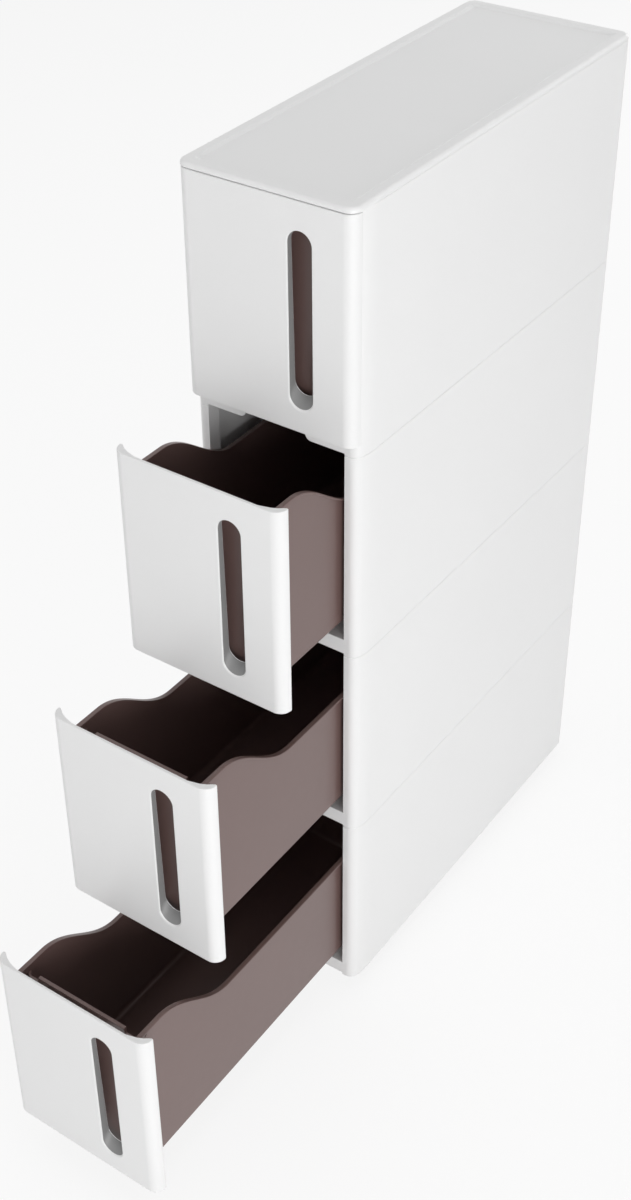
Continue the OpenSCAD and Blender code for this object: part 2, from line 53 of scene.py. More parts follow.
TIERS = ("bottom", "lower", "upper", "top")
case_low, case_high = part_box("bottom_case")
half_width = case_high.x
frame_y = case_low.y
back_y = case_high.y
base_z = case_low.z
tier_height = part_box("lower_case")[0].z - base_z
face_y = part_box("top_front")[0].y
WALL = 0.0025
CORNER = 0.011
FRAME_CORNER = 0.009
FRAME_CORNER_IN = 0.011
BLEND_DEPTH = 0.0225
FRAME_SIDE = 0.015
OPENING_HALF = half_width - FRAME_SIDE
LEG = 0.014
BEAD = 0.002
FLOOR_LIFT = 0.015
FLOOR_THICK = 0.0025
FLOOR_EDGE = 0.0003
FLOOR_TAB = 0.0004
RAIL_LIFT = 0.002
RAIL_EDGE = 0.0006
RAIL_ROUND = 0.0008
NOTCH_HALF = 0.0305
NOTCH_HEIGHT = 0.008
NOTCH_CORNER = 0.002
GROOVE = 0.0007
RIB = 0.0022
RIB_EDGE = 0.0005
RIB_ROUND = 0.0006
RIB_LAP = 0.001
SHELF_ROUND = 0.001
SINK = 0.0006  # how far one part of a moulding reaches into the next
HAIR = 0.00005  # keeps the faces of two such parts out of one plane
SAME_SPOT = 1e-7
SHARP_ANGLE = 35
RUNNER_GAP = 0.0003
bin_low, bin_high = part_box("bottom_bin")
BIN_SPACE = 0.0044
BIN_HALF = OPENING_HALF - BIN_SPACE
RIM_OUT = 0.0024
WING_LENGTH = 0.022
WING_HEIGHT = 0.012
BIN_CORNER = 0.008
ledge_top = bin_low.z - base_z - RUNNER_GAP
guide_low = bin_low.z - base_z + WING_HEIGHT + RUNNER_GAP
LEDGE_REACH = 0.004
LEDGE_IN = BIN_HALF - LEDGE_REACH
GUIDE_SPACE = 0.003
GUIDE_IN = BIN_HALF + RIM_OUT + GUIDE_SPACE
STOP_THICK = 0.003
slide_out = frame["record"]["behaviour"]["joints"][0]["range_m"][1]
stop_back = bin_high.y - RIM_OUT - BIN_CORNER - WING_LENGTH - slide_out - RUNNER_GAP
RUNNER_BACKSET = 0.001
runner_front = frame_y + LEG + BEAD + RUNNER_BACKSET
wall_inside = half_width - WALL / 2
BOSS_TOP = 0.029
BOSS_OUT = 0.00795
BOSS_EDGE = 0.0006
BOSS_FOOT = 0.003
BOSS_FLARE = 0.001
BOSS_SINK = 0.0002
SLEEVE_BORE = 0.00605
BORE_EDGE = 0.0004


def arc(cx, cy, radius, start, end, steps):
    """Points along an arc, from start to end in degrees."""
    turns = [math.radians(start + (end - start) * k / steps) for k in range(steps + 1)]
    return [(cx + radius * math.cos(t), cy + radius * math.sin(t)) for t in turns]


def mirrored(points):
    """The same points on the other side of the middle, in the opposite order."""
    return [(-x, y) for x, y in reversed(points)]


def shrunk(outline, inset, least=0.3):
    """An outline that runs anticlockwise, with every side moved inwards by inset. A sharp
    corner moves no further than inset over least."""
    moved = []
    for k, point in enumerate(outline):
        here = Vector(point)
        into = (here - Vector(outline[k - 1])).normalized()
        away = (Vector(outline[(k + 1) % len(outline)]) - here).normalized()
        inward = Vector((-into.y - away.y, into.x + away.x)).normalized()
        reach = inset / max(least, inward.dot(Vector((-into.y, into.x))))
        moved.append((here + inward * reach)[:])
    return moved


def softened(outline, radius, steps=4, gentle=0.5, share=0.45):
    """The outline with each of its corners turned into a small curve, which takes no more
    than a share of a side. A turn of less than gentle radians stays as it is."""
    soft = []
    for k, point in enumerate(outline):
        here = Vector(point)
        back = Vector(outline[k - 1]) - here
        onward = Vector(outline[(k + 1) % len(outline)]) - here
        if (-back).angle(onward) < gentle:
            soft.append(point)
            continue
        first = here + back.normalized() * min(radius, share * back.length)
        last = here + onward.normalized() * min(radius, share * onward.length)
        for s in range(steps + 1):
            t = s / steps
            soft.append(((1 - t) ** 2 * first + 2 * t * (1 - t) * here + t * t * last)[:])
    return soft


def rounded_edge(radius, steps=3):
    """The rings of a rounded edge: how far each is drawn in, and how far it stands up."""
    turns = [math.radians(90 * k / steps) for k in range(steps + 1)]
    return [(radius * (1 - math.sin(turn)), radius * (1 - math.cos(turn))) for turn in turns]


def join_loops(mesh, loops, gaps=()):
    """Adds a band of faces between each loop of points and the next, with the faces whose
    numbers are in gaps left open."""
    for lower, upper in zip(loops, loops[1:]):
        for k in range(len(lower)):
            n = (k + 1) % len(lower)
            if k not in gaps:
                mesh.faces.new((lower[k], lower[n], upper[n], upper[k]))


def prism(mesh, outline, low, high, edge, place):
    """Adds a closed solid: an outline from low to high, with rounded edges, put where
    place(u, v, w) says."""
    rings = [(inset, low + rise) for inset, rise in rounded_edge(edge)]
    rings += [(inset, low + high - level) for inset, level in reversed(rings)]
    loops = [[mesh.verts.new(place(u, v, level)) for u, v in shrunk(outline, inset)]
             for inset, level in rings]
    join_loops(mesh, loops)
    mesh.faces.new(loops[0])
    mesh.faces.new(loops[-1])


def upright(u, v, w):
    """Outline seen from above, raised along z."""
    return (u, v, w)


def across(u, v, w):
    """Outline seen from the front, as x and z, drawn back along y."""
    return (u, w, v)


def rib(mesh, left, low, right, high, front, back, corner=RIB_ROUND):
    """Adds a rib: a rectangle seen from the front, with soft corners, drawn back along y."""
    outline = [(left, low), (right, low), (right, high), (left, high)]
    prism(mesh, softened(outline, corner), front, back, RIB_EDGE, across)


def turned(mesh, profile, place, steps=48, closed=False):
    """Adds a turned shape: a profile of radius and height points, spun round its axis.
    A closed profile is a ring with a bore; an open one starts and ends on the axis."""
    loops = []
    for radius, level in profile:
        if radius < SAME_SPOT:
            loops.append([mesh.verts.new(place(0, 0, level))])
            continue
        ring = arc(0, 0, radius, 0, 360 - 360 / steps, steps - 1)
        loops.append([mesh.verts.new(place(u, v, level)) for u, v in ring])
    pairs = list(zip(loops, loops[1:]))
    if closed:
        pairs.append((loops[-1], loops[0]))
    for lower, upper in pairs:
        if len(lower) == len(upper):
            join_loops(mesh, (lower, upper))
            continue
        tip, ring = (lower[0], upper) if len(lower) == 1 else (upper[0], lower)
        for k in range(steps):
            mesh.faces.new((tip, ring[k], ring[(k + 1) % steps]))


def piece(name, mesh, material, slot, body, *nodes):
    """Makes the finished mesh an object that rides on body and stands for the nodes."""
    bmesh.ops.remove_doubles(mesh, verts=mesh.verts, dist=SAME_SPOT)
    bmesh.ops.dissolve_degenerate(mesh, edges=mesh.edges, dist=SAME_SPOT)
    bmesh.ops.recalc_face_normals(mesh, faces=mesh.faces)
    data = bpy.data.meshes.new(name)
    mesh.to_mesh(data)
    mesh.free()
    data.materials.append(material)
    data.shade_smooth()
    data.set_sharp_from_angle(angle=math.radians(SHARP_ANGLE))
    obj = bpy.data.objects.new(name, data)
    bpy.context.scene.collection.objects.link(obj)
    even = obj.modifiers.new("even shading", "WEIGHTED_NORMAL")
    even.keep_sharp = True
    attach(obj, body)
    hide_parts(*nodes)
    return obj


class Value:
    """A value in a material. A sum or a product with it adds a Math node."""

    def __init__(self, finish, socket):
        self.finish = finish
        self.socket = socket

    def math(self, operation, other):
        """This value and another, put through one Math node."""
        return self.finish.node("ShaderNodeMath", {"operation": operation}, {0: self, 1: other})

    def __add__(self, other):
        return self.math("ADD", other)

    def __mul__(self, other):
        return self.math("MULTIPLY", other)

    __radd__ = __add__
    __rmul__ = __mul__


class Finish:
    """A material built from nodes, on the piece's own coordinates."""

    def __init__(self, name):
        self.material = bpy.data.materials.new(name)
        self.material.use_nodes = True
        self.tree = self.material.node_tree
        self.tree.nodes.clear()
        self.place = self.node("ShaderNodeTexCoord", {}, {}, "Object")

    def node(self, kind, settings, sockets, output=0):
        """Adds a node, sets it up, feeds its sockets and returns one of its outputs."""
        made = self.tree.nodes.new(kind)
        for name, setting in settings.items():
            setattr(made, name, setting)
        for name, value in sockets.items():
            if isinstance(value, Value):
                self.tree.links.new(value.socket, made.inputs[name])
            elif isinstance(name, str) and made.inputs[name].type == "RGBA":
                made.inputs[name].default_value = (*value, 1)
            else:
                made.inputs[name].default_value = value
        return Value(self, made.outputs[output]) if made.outputs else None

    def noise(self, scale, detail):
        """Soft noise, with its scale in waves to the metre."""
        return self.node("ShaderNodeTexNoise", {},
                         {"Vector": self.place, "Scale": scale, "Detail": detail})

    def blend(self, factor, first, second):
        """A colour between two colours."""
        return self.node("ShaderNodeMix", {"data_type": "RGBA"},
                         {0: factor, 6: (*first, 1), 7: (*second, 1)}, 2)

    def bump(self, height, distance, strength, under=None):
        """Bumps of a real height, in metres, laid over those under them."""
        sockets = {"Height": height, "Distance": distance, "Strength": strength}
        if under:
            sockets["Normal"] = under
        return self.node("ShaderNodeBump", {}, sockets)

    def surface(self, **sockets):
        """Closes the material with its surface."""
        named = {name.replace("_", " "): value for name, value in sockets.items()}
        shader = self.node("ShaderNodeBsdfPrincipled", {}, named)
        self.node("ShaderNodeOutputMaterial", {}, {"Surface": shader})
        return self.material


def moulded_plastic(name, pale, deep, rough, grain):
    """A moulding: colour that drifts a little, a fine grain, and the slow waves that a
    wall of plastic has."""
    finish = Finish(name)
    drift = finish.noise(scale=7.0, detail=3.0)
    speck = finish.noise(scale=2600.0, detail=1.0)
    fine = finish.noise(scale=grain, detail=2.0)
    waves = finish.noise(scale=16.0, detail=1.0)
    slow = finish.bump(waves, distance=0.0004, strength=0.12)
    skin = finish.bump(fine, distance=0.00002, strength=0.22, under=slow)
    speck_share = 0.2
    colour = finish.blend((1 - speck_share) * drift + speck_share * speck, deep, pale)
    spread = 0.08
    dull = rough - spread / 2 + spread * finish.noise(scale=90.0, detail=3.0)
    return finish.surface(Base_Color=colour, Roughness=dull, Normal=skin)


case_white = moulded_plastic("case white", pale=(0.83, 0.83, 0.83), deep=(0.80, 0.80, 0.80),
                             rough=0.42, grain=2200.0)


def case_side(inset):
    """The right side of a case from its front edge to its back, drawn in by inset: a small
    arc that runs into a large one, the flat side, and the back corner."""
    corner_x = half_width - FRAME_CORNER_IN
    corner_y = frame_y + FRAME_CORNER
    run = BLEND_DEPTH - FRAME_CORNER
    large = ((FRAME_CORNER_IN ** 2 + run ** 2 - FRAME_CORNER ** 2)
             / (2 * (FRAME_CORNER_IN - FRAME_CORNER)))
    meet = -math.degrees(math.asin(run / (large - FRAME_CORNER)))
    return (arc(corner_x, corner_y, FRAME_CORNER - inset, -90, meet, 10)
            + arc(half_width - large, frame_y + BLEND_DEPTH, large - inset, meet, 0, 8)[1:]
            + arc(half_width - CORNER, back_y - CORNER, CORNER - inset, 0, 90, 14))


def case_wall_outline():
    """The case's wall seen from above, with the front frame's legs and their beads."""
    outer = [(OPENING_HALF, frame_y)] + case_side(0)
    inner = case_side(WALL)
    bead_x = OPENING_HALF + BEAD
    bead_y = frame_y + LEG
    drop = -math.degrees(math.acos((WALL - BEAD) / BEAD))
    leg = [(OPENING_HALF + WALL, frame_y + WALL)] + arc(bead_x, bead_y, BEAD, drop, 180, 14)
    left_inner = [(-x, y) for x, y in inner]
    return outer + mirrored(outer) + mirrored(leg) + left_inner + inner[::-1] + leg


def rail_outline(seam):
    """The front rail seen from the front, with its notch cut up into its lower edge: the
    notch's lower corners are rounded outwards."""
    low = seam + RAIL_LIFT
    high = seam + FLOOR_LIFT + FLOOR_THICK
    half = OPENING_HALF + SINK
    flare = NOTCH_HEIGHT - NOTCH_CORNER
    right = arc(NOTCH_HALF - NOTCH_CORNER, low + flare, NOTCH_CORNER, 90, 0, 5)
    right += arc(NOTCH_HALF + flare, low + flare, flare, 180, 270, 9)[1:]
    lower = [(-half, low)] + mirrored(right) + right + [(half, low)]
    return softened(lower + [(half, high), (-half, high)], RAIL_ROUND)


def floor_outline():
    """The floor seen from above, with its edge sunk in the walls and its front in the rail."""
    tab_x = OPENING_HALF + FLOOR_TAB
    right = [(tab_x, frame_y + SINK), (tab_x, frame_y + WALL / 2), *case_side(WALL / 2)]
    return right + mirrored(right)


def runner_outline(near, y0):
    """A runner's shelf seen from above, from its inner edge out into the case's wall."""
    edge = [(x, y) for x, y in case_side(WALL / 2) if x > near and y > y0]
    return softened([(near, y0), (wall_inside, y0), *edge, (near, edge[-1][1])], SHELF_ROUND)


caster_spots = {}
for corner in ("front_left", "front_right", "rear_left", "rear_right"):
    stem_low, stem_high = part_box(corner + "_caster_stem")
    caster_spots[corner] = ((stem_low.x + stem_high.x) / 2, (stem_low.y + stem_high.y) / 2)

rib_foot = FLOOR_LIFT + FLOOR_THICK - RIB_EDGE
for tier_number, tier in enumerate(TIERS):
    seam = base_z + tier_number * tier_height
    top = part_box("top_case")[1].z if tier == "top" else seam + tier_height
    mesh = bmesh.new()
    prism(mesh, case_wall_outline(), seam, top, GROOVE, upright)
    prism(mesh, floor_outline(), seam + FLOOR_LIFT, seam + FLOOR_LIFT + FLOOR_THICK - HAIR,
          FLOOR_EDGE, upright)
    prism(mesh, rail_outline(seam), frame_y, frame_y + WALL, RAIL_EDGE, across)
    for side in (-1, 1):
        def span(near, far):
            """A reach across x, on this side."""
            return sorted((side * near, side * far))
        for near, low, y0 in ((LEDGE_IN, ledge_top - RIB, runner_front),
                              (GUIDE_IN, guide_low, stop_back - STOP_THICK)):
            shelf = runner_outline(near, y0)
            prism(mesh, shelf if side > 0 else mirrored(shelf), seam + low, seam + low + RIB,
                  RIB_EDGE, upright)
        left, right = span(LEDGE_IN + HAIR, LEDGE_IN + RIB)
        rib(mesh, left, seam + rib_foot, right, seam + ledge_top - RIB / 2,
            runner_front + HAIR, back_y - WALL / 2)
        left, right = span(GUIDE_IN + HAIR, wall_inside)
        rib(mesh, left, seam + ledge_top - RIB_LAP, right, seam + guide_low + RIB_LAP,
            stop_back - STOP_THICK, stop_back)
    if tier == "bottom":
        boss_low = FLOOR_LIFT + BOSS_SINK
        for spot_x, spot_y in caster_spots.values():
            def at_caster(u, v, w):
                """A place in the floor's boss for this caster."""
                return (spot_x + u, spot_y + v, seam + w)
            turned(mesh, [(SLEEVE_BORE, boss_low), (SLEEVE_BORE, BOSS_TOP - BORE_EDGE),
                          (SLEEVE_BORE + BORE_EDGE, BOSS_TOP), (BOSS_OUT - BOSS_EDGE, BOSS_TOP),
                          (BOSS_OUT, BOSS_TOP - BOSS_EDGE), (BOSS_OUT, FLOOR_LIFT + BOSS_FOOT),
                          (BOSS_OUT + BOSS_FLARE, boss_low)], at_caster, closed=True)
    piece(tier + "_case_shell", mesh, case_white, "case_plastic", "trolley", tier + "_case")

# Top cover. A white slab with a rounded edge, whose shallow recess leaves a raised rim all
# round, so that things stood on it don't slide off. It closes the top tier with a plug, and
# a short skirt hangs behind the upper edge of the top drawer's front.

cover_low, cover_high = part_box("top_cover")
COVER_EDGE = 0.0036
COVER_RIM = 0.0105
COVER_SEAT = 0.004
COVER_FOOT = 0.0004
RIM_EDGE = 0.0005
RIM_FALL = 0.0002
RECESS = 0.0022
RECESS_SLOPE = 0.0027
RECESS_CORNER = 0.005
SLOPE_FOOT_RISE = 0.00025
SLOPE_FOOT_BACK = 0.0002
SLOPE_FOOT_ON = 0.0004
PLUG_BACKSET = 0.001
PLUG_GAP = 0.00015
PLUG_EDGE = 0.0005
PLUG_SINK = 0.0003
SKIRT_GAP = 0.0003
SKIRT_LAP = 0.001
SKIRT_ROUND = 0.001
cover_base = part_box("top_case")[1].z
cover_thick = cover_high.z - cover_base


def rounded_plan(half, y0, y1, radius, steps=14):
    """A rectangle seen from above, with its four corners rounded."""
    right = arc(half - radius, y0 + radius, radius, -90, 0, steps)
    right += arc(half - radius, y1 - radius, radius, 0, 90, steps)
    return right + mirrored(right)


def lofted(mesh, rings, outline_at, base):
    """Adds a closed solid through rings, each given as its inset and its height."""
    loops = []
    for inset, level in rings:
        loops.append([mesh.verts.new((u, v, base + level)) for u, v in outline_at(inset)])
    join_loops(mesh, loops)
    mesh.faces.new(loops[0])
    mesh.faces.new(loops[-1])


def cover_plan(inset):
    """The cover's edge seen from above, drawn in by inset."""
    return rounded_plan(half_width - inset, cover_low.y + inset, cover_high.y - inset,
                        max(CORNER - inset, RECESS_CORNER))


edge_rings = [(COVER_EDGE - x, cover_thick - COVER_EDGE + z)
              for x, z in arc(0, 0, COVER_EDGE, 0, 90, 8)]
recess_z = cover_thick - RECESS
slope_end = COVER_RIM + RECESS_SLOPE
mesh = bmesh.new()
lofted(mesh, [(COVER_SEAT, 0), (COVER_FOOT, 0), (COVER_FOOT / 4, COVER_FOOT / 4), (0, COVER_FOOT),
              *edge_rings, (COVER_RIM - RIM_EDGE, cover_thick), (COVER_RIM, cover_thick - RIM_FALL),
              (slope_end - SLOPE_FOOT_BACK, recess_z + SLOPE_FOOT_RISE),
              (slope_end + SLOPE_FOOT_ON, recess_z)], cover_plan, cover_base)
plug_outline = rounded_plan(half_width - WALL - PLUG_GAP, runner_front + PLUG_BACKSET,
                            back_y - WALL - PLUG_GAP, CORNER - WALL)
plug_low = cover_low.z - cover_base
inner_plug = shrunk(plug_outline, RIB)
loops = []
for points, level in ((plug_outline, PLUG_SINK), (plug_outline, plug_low + PLUG_EDGE),
                      (shrunk(plug_outline, PLUG_EDGE), plug_low),
                      (shrunk(inner_plug, -PLUG_EDGE), plug_low),
                      (inner_plug, plug_low + PLUG_EDGE), (inner_plug, PLUG_SINK)):
    loops.append([mesh.verts.new((u, v, cover_base + level)) for u, v in points])
join_loops(mesh, loops + loops[:1])
skirt_half = OPENING_HALF - SKIRT_GAP
skirt_low = base_z + len(TIERS) * tier_height + RAIL_LIFT
rib(mesh, -skirt_half, skirt_low, skirt_half, cover_base + SKIRT_LAP, frame_y, frame_y + WALL,
    SKIRT_ROUND)
piece("cover_slab", mesh, case_white, "case_plastic", "trolley", "top_cover")

# Drawer bins. Each is one mauve-brown moulding: high behind its front, then a wave that
# drops to a lower edge at the back, with a rim turned outwards all along. Its sides run on
# to the front, past a lower front wall with a raised lip to grip, and a wing at each rear
# side runs in the case's runner.

BIN_WALL = 0.0022
BIN_SIDE_HEIGHT = bin_high.z - bin_low.z
FACE_DROP = 0.007
WAVE_DROP = 0.047
WAVE_START = 0.040
WAVE_LENGTH = 0.096
WAVE_STEPS = 40
BACK_STEPS = 6
CORNER_STEPS = 12
RIM_THICK = 0.002
RIM_FILLET = 0.0006
RIM_LOW_EDGE = 0.0004
RIM_TOP_EDGE = 0.0007
RIM_TOP_BEVEL = 0.0002
RIM_IN_EDGE = 0.0006
LIP_HALF = 0.049
LIP_END = 0.0004
LIP_HEIGHT = 0.005
LIP_EXTRA = 0.0014
LIP_STEP = 0.025
FOOT_ROUND = 0.003
FOOT_IN = 0.006
FLOOR_FILLET = 0.005
FLOOR_RUN = 0.0007
MID_HEIGHT = 0.06
SIDE_LAP = 0.0004
wing_out = bin_high.x
SCREW_HEAD = 0.006
SCREW_HEAD_HEIGHT = 0.002
finger_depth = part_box("top_front_screws")[1].y - face_y - SCREW_HEAD_HEIGHT - BIN_WALL

bin_brown = moulded_plastic("bin mauve brown", pale=(0.152, 0.096, 0.088),
                            deep=(0.136, 0.085, 0.077), rough=0.30, grain=1900.0)


def smooth_step(t):
    """A soft step from 0 to 1."""
    t = min(1.0, max(0.0, t))
    return t * t * (3 - 2 * t)


def bin_path(y0, y1):
    """Points round a bin's outer wall, each with its outward direction, whether it belongs
    to the sides and back, and its share of the raised lip."""
    cx = BIN_HALF - BIN_CORNER

    def corner_points(cy, start, rimmed_from):
        """A rounded corner, which has the rim from one of its steps on."""
        points = []
        for step in range(CORNER_STEPS + 1):
            turn = math.radians(start + 90 * step / CORNER_STEPS)
            out_x, out_y = math.cos(turn), math.sin(turn)
            points.append((cx + BIN_CORNER * out_x, cy + BIN_CORNER * out_y, out_x, out_y,
                           int(step >= rimmed_from), 0.0))
        return points

    lip_ends = (LIP_HALF - LIP_END, LIP_HALF, LIP_HALF + LIP_END)
    path = []
    for x in (-cx, *(-end for end in reversed(lip_ends)), -LIP_STEP, 0.0, LIP_STEP, *lip_ends):
        lip = smooth_step((LIP_HALF + LIP_END - abs(x)) / (2 * LIP_END))
        path.append((x, y0, 0.0, -1.0, 0, lip))
    path += corner_points(y0 + BIN_CORNER, -90, CORNER_STEPS)
    wave = [y0 - finger_depth + WAVE_START + WAVE_LENGTH * k / WAVE_STEPS
            for k in range(WAVE_STEPS + 1)]
    straight = y1 - BIN_CORNER - wave[-1]
    for y in wave + [wave[-1] + straight * k / BACK_STEPS for k in range(1, BACK_STEPS)]:
        path.append((BIN_HALF, y, 1.0, 0.0, 1, 0.0))
    path += corner_points(y1 - BIN_CORNER, 0, 0)
    left = [(-x, y, -a, b, side, lip) for x, y, a, b, side, lip in reversed(path) if y > y0]
    return path + left


def bin_height(y, face):
    """Height of a bin's side at a place behind the front's face."""
    way = min(1, max(0, (y - face - WAVE_START) / WAVE_LENGTH))
    return BIN_SIDE_HEIGHT - WAVE_DROP * (1 - math.cos(math.pi * way)) / 2


def bin_section(height, rim, lip):
    """The bin's wall from the middle of its underside, out and up, over the rim and down
    to the floor inside: how far each point stands out, and its height."""
    top = height + LIP_HEIGHT * lip
    out = RIM_OUT * rim
    soft = RIM_FILLET * rim
    inside = -BIN_WALL - LIP_EXTRA * lip
    under = top - RIM_THICK
    ledge = under - LIP_HEIGHT * lip
    foot = [(x - FOOT_ROUND, FOOT_ROUND + z) for x, z in arc(0, 0, FOOT_ROUND, -90, 0, 5)]
    outer_wall = [(0.0, MID_HEIGHT), (0.0, under - 2 * RIM_FILLET),
                  (soft / 4, under - RIM_FILLET * 2 / 3), (soft, under)]
    brim = [(max(soft, out - RIM_EDGE), under), (out, under + RIM_LOW_EDGE * rim),
            (out, top - RIM_TOP_EDGE), (out - RIM_TOP_BEVEL, top - RIM_TOP_BEVEL),
            (out - RIM_TOP_EDGE, top), (inside + RIM_IN_EDGE, top),
            (inside + RIM_IN_EDGE / 4, top - RIM_IN_EDGE / 4), (inside, top - RIM_IN_EDGE)]
    inner_wall = [(inside, ledge), (-BIN_WALL, ledge - RIM_LOW_EDGE), (-BIN_WALL, MID_HEIGHT)]
    fillet = [(-BIN_WALL - FLOOR_FILLET + x, BIN_WALL + FLOOR_FILLET + z)
              for x, z in arc(0, 0, FLOOR_FILLET, 0, -90, 6)]
    return [(-FOOT_IN, 0.0), *foot, *outer_wall, *brim, *inner_wall, *fillet,
            (-BIN_WALL - FLOOR_FILLET - FLOOR_RUN, BIN_WALL)]


def cheek_outline(base):
    """The part of a bin's right side that runs on to the front, seen from the front."""
    top = base + BIN_SIDE_HEIGHT
    inner = BIN_HALF - BIN_WALL
    round_foot = arc(BIN_HALF - FOOT_ROUND, base + FOOT_ROUND, FOOT_ROUND, -90, 0, 8)
    foot = [point for point in round_foot if point[0] > inner]
    rim = [(BIN_HALF, top - RIM_THICK), (BIN_HALF + RIM_OUT, top - RIM_THICK),
           (BIN_HALF + RIM_OUT, top), (inner, top)]
    return softened([(inner, foot[0][1])] + foot + rim, RIB_ROUND)


for tier in TIERS:
    low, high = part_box(tier + "_bin")
    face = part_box(tier + "_front")[0].y
    bin_front = face + finger_depth
    bin_back = high.y - RIM_OUT
    mesh = bmesh.new()
    columns = []
    for x, y, out_x, out_y, rim, lip in bin_path(bin_front, bin_back):
        height = bin_height(y, face) if rim else BIN_SIDE_HEIGHT - FACE_DROP
        columns.append([mesh.verts.new((x + d * out_x, y + d * out_y, low.z + z))
                        for d, z in bin_section(height, rim, lip)])
    join_loops(mesh, list(zip(*columns)))
    mesh.faces.new([column[0] for column in columns])
    mesh.faces.new([column[-1] for column in columns])
    cheek = cheek_outline(low.z)
    for outline in (cheek, mirrored(cheek)):
        prism(mesh, outline, low.y, bin_front + BIN_CORNER + SIDE_LAP, RIM_LOW_EDGE, across)
    wing_front = bin_back - BIN_CORNER - WING_LENGTH
    wing_back = wing_front + WING_LENGTH
    wing_top = low.z + WING_HEIGHT
    for side in (-1, 1):
        left, right = sorted((side * (BIN_HALF - RIB_LAP), side * wing_out))
        rib(mesh, left, low.z, right, low.z + RIB, wing_front, wing_back)
        near, far = sorted((side * (wing_out - RIB), side * (wing_out - HAIR)))
        rib(mesh, near, low.z + RIB_LAP, far, wing_top, wing_front, wing_back)
        rib(mesh, left, low.z + RIB_LAP, right - HAIR * (side > 0), wing_top - HAIR,
            wing_front, wing_front + RIB)
    piece(tier + "_bin_shell", mesh, bin_brown, "bin_plastic", tier + "_drawer", tier + "_bin")

# Drawer fronts. A white plate whose sides wrap back round the case's corners. The handle is
# an upright slot with round ends: its collar gets deeper downwards, and ends in a scoop that
# rises towards the back. Bosses, bumpers and two corner webs stand on the plate's back.

FRONT_THICK = 0.003
PLATE_EDGE = 0.0009
WRAP_TAIL = 0.001
TIP_ROUND = 0.001
WEB_REACH = 0.024
WEB_THICK = 0.003
WEB_SINK = 0.0001
WEB_EDGE = 0.0004
# The web's free edge: how far in from the wrap's inner side, and how far behind the face
WEB_HOLLOW = ((-SINK, 0.0112), (0.0004, 0.0111), (0.0045, 0.0080), (0.0100, 0.0054))
SLOT_HALF = 0.0115
SLOT_X = 0.0336
SLOT_LOW = 0.021
SLOT_HIGH = 0.180
COLLAR_TOP_DEPTH = 0.0065
COLLAR_LOW_DEPTH = 0.010
COLLAR_WALL = 0.002
COLLAR_LIP = 0.0011
COLLAR_SPARE = 0.001
COLLAR_PAST = COLLAR_WALL + COLLAR_SPARE
COLLAR_STEPS = 6
COLLAR_FROM = 2
INNER_EDGE, INNER_BEVEL = 0.0006, 0.0002
OUTER_EDGE, OUTER_BEVEL = 0.0005, 0.00015
FILLET_EDGE, FILLET_BEVEL = 0.0008, 0.0002
SCOOP_RISE = 0.011
screws_low, screws_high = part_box("top_front_screws")
screw_x = screws_high.x - SCREW_HEAD / 2
screw_heights = [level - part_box("top_front")[0].z
                 for level in (screws_low.z + SCREW_HEAD / 2, screws_high.z - SCREW_HEAD / 2)]
BOSS_RADIUS = 0.004
BOSS_SHORT = 0.0001
BUMPER_RADIUS = 0.003
BUMPER_IN = 0.025
BUMPER_OVERHANG = 0.0005
BUMPER_X = OPENING_HALF + BUMPER_RADIUS - BUMPER_OVERHANG
BUMPER_GAP = 0.0003
BUMPER_EDGE = 0.0008
BUMPER_BEVEL_IN = 0.0002
BUMPER_BEVEL_DOWN = 0.0003
front_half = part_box("top_front")[1].x

front_white = moulded_plastic("front white", pale=(0.83, 0.83, 0.83), deep=(0.805, 0.805, 0.805),
                              rough=0.36, grain=2600.0)
# Painted shade: the collar walls inside the handle slot are the same white plastic, and this darker
# grey stands in for the shade that falls deep in the slot.
slot_painted_shade = moulded_plastic("slot grey", pale=(0.26, 0.26, 0.26), deep=(0.23, 0.23, 0.23),
                            rough=0.5, grain=1400.0)


def front_section():
    """The plate seen from above: outside from left to right, then back along the inside."""
    flat = front_half - CORNER
    tail = CORNER + WRAP_TAIL
    tip = arc(front_half - TIP_ROUND, tail - TIP_ROUND, TIP_ROUND, 0, 90, 4)
    tip += arc(front_half - FRONT_THICK + TIP_ROUND, tail - TIP_ROUND, TIP_ROUND, 90, 180, 4)
    outer = arc(flat, CORNER, CORNER, -90, -4, 14)
    inner = arc(flat, CORNER, CORNER - FRONT_THICK, -4, -90, 12)
    right = outer + tip + inner
    return right + mirrored(right)


def web_outline():
    """The web that fills the right corner at the plate's upper edge, seen from above. Its
    outer side runs in the middle of the plate, and its free edge is slightly hollow."""
    middle = CORNER - FRONT_THICK / 2
    hollow = [(front_half - FRONT_THICK - reach, depth) for reach, depth in WEB_HOLLOW]
    return ([(front_half - WEB_REACH, FRONT_THICK - SINK)]
            + arc(front_half - CORNER, CORNER, middle, -90, -8, 8) + hollow)


def slot_ring(inset, depth, lifted=1, share=0):
    """The slot's outline drawn in by inset. It lies at a depth behind the face, past a share
    of the way to the collar's slanted end, and its lower end is lifted to the scoop."""
    radius = SLOT_HALF - inset
    low = SLOT_LOW + SLOT_HALF
    high = SLOT_HIGH - SLOT_HALF
    ring = arc(SLOT_X, high, radius, 0, 180, 20) + arc(SLOT_X, low, radius, 180, 360, 20)
    placed = []
    for x, z in ring:
        reach = depth + share * collar_depth(z)
        if z < low + SAME_SPOT:
            z += lifted * SCOOP_RISE * reach / COLLAR_LOW_DEPTH
            reach = depth + share * collar_depth(z)
        placed.append((x, reach, z))
    return placed


def collar_depth(z):
    """Depth of the collar's slanted end at a height above the front's lower edge."""
    below = SLOT_LOW - COLLAR_PAST
    above = SLOT_HIGH + COLLAR_PAST
    way = (z - below) / (above - below)
    return COLLAR_LOW_DEPTH + (COLLAR_TOP_DEPTH - COLLAR_LOW_DEPTH) * way


